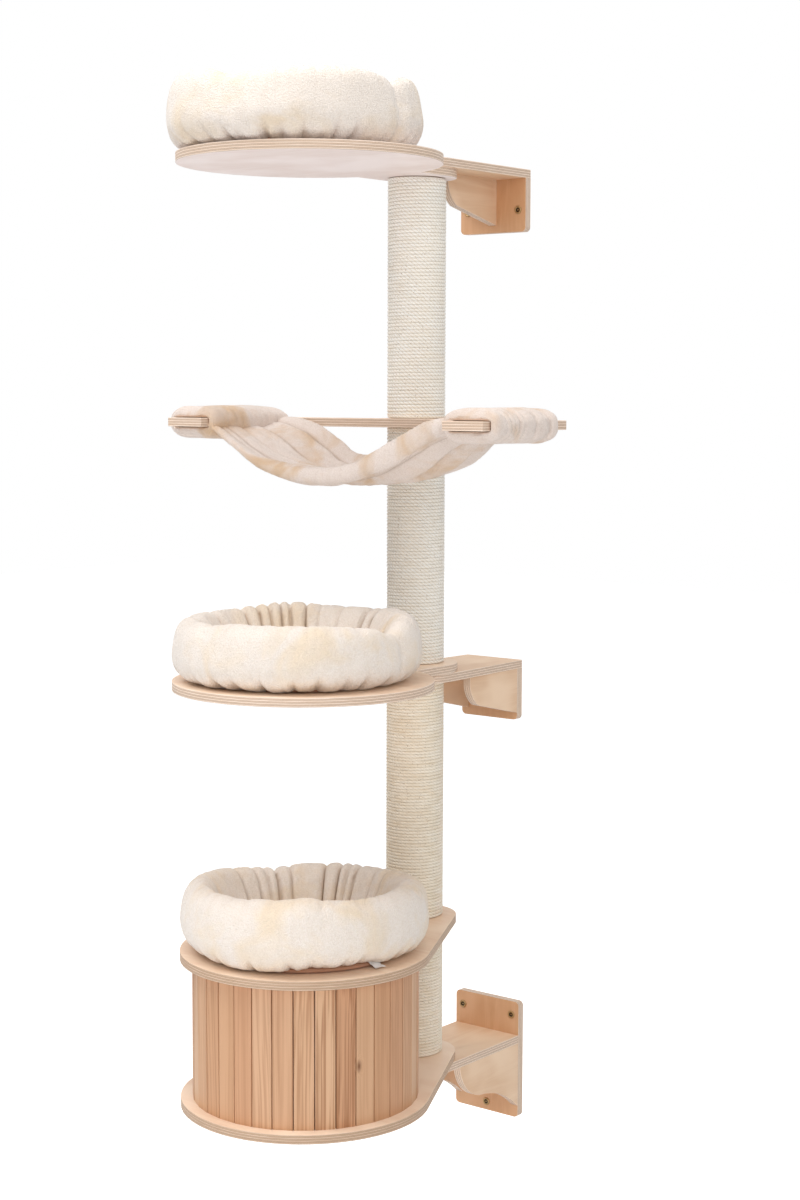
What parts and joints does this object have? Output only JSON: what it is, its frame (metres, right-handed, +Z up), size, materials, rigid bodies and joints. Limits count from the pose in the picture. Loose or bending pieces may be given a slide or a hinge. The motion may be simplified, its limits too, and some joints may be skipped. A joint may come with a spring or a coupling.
{
  "type": "wall mounted cat tree",
  "caption": "Wall mounted cat tree: a sisal post on plywood wall brackets, with a slatted cave, round platforms, plush beds and a cloth hammock.",
  "frame": {"origin": "centre of the lower wall plate's back face, where it meets the wall", "axes": "+X along the wall to the right as seen from the room, +Y into the wall, +Z up; the object stands on the room's side of the wall, at negative Y"},
  "size_m": [0.844, 0.8962, 2.1743],
  "materials": {
    "birch_ply": "satin",
    "pine": "satin",
    "core_wood": "matte",
    "sisal": "matte",
    "steel": "satin",
    "plush": "matte",
    "tag": "satin"
  },
  "bodies": {
    "frame": {"wall_plate_bottom": "birch_ply", "wall_plate_middle": "birch_ply", "wall_plate_top": "birch_ply", "arm_bottom": "birch_ply", "arm_middle": "birch_ply", "arm_top": "birch_ply", "cheek_bottom_left": "birch_ply", "cheek_bottom_right": "birch_ply", "cheek_middle_left": "birch_ply", "cheek_middle_right": "birch_ply", "cheek_top": "birch_ply", "platform_top": "birch_ply", "platform_middle": "birch_ply", "cave_roof": "birch_ply", "cave_floor": "birch_ply", "hammock_frame": "birch_ply", "cave_slats": "pine", "post_core_cave": "core_wood", "post_core_low": "core_wood", "post_core_middle": "core_wood", "post_core_top": "core_wood", "sisal_cave": "sisal", "sisal_low": "sisal", "sisal_middle": "sisal", "sisal_top": "sisal", "stud_roof": "steel", "stud_middle": "steel", "stud_hammock": "steel", "joint_bolt_bottom": "steel", "joint_bolt_top": "steel"},
    "upper_bed": {"bed_top": "plush"},
    "middle_bed": {"bed_middle": "plush"},
    "cave_bed": {"bed_cave": "plush", "bed_tag": "tag"},
    "sling": {"hammock_cloth": "plush"}
  },
  "joints": [
    {"name": "upper_bed_lift", "type": "slide", "parent": "frame", "child": "upper_bed", "axis": [0, 0, 1], "range_m": [0, 0.25]},
    {"name": "middle_bed_lift", "type": "slide", "parent": "frame", "child": "middle_bed", "axis": [0, 0, 1], "range_m": [0, 0.2]},
    {"name": "cave_bed_lift", "type": "slide", "parent": "frame", "child": "cave_bed", "axis": [0, 0, 1], "range_m": [0, 0.25]},
    {"name": "sling_pull", "type": "slide", "parent": "frame", "child": "sling", "axis": [0, -1, 0], "range_m": [0, 0.25]}
  ]
}
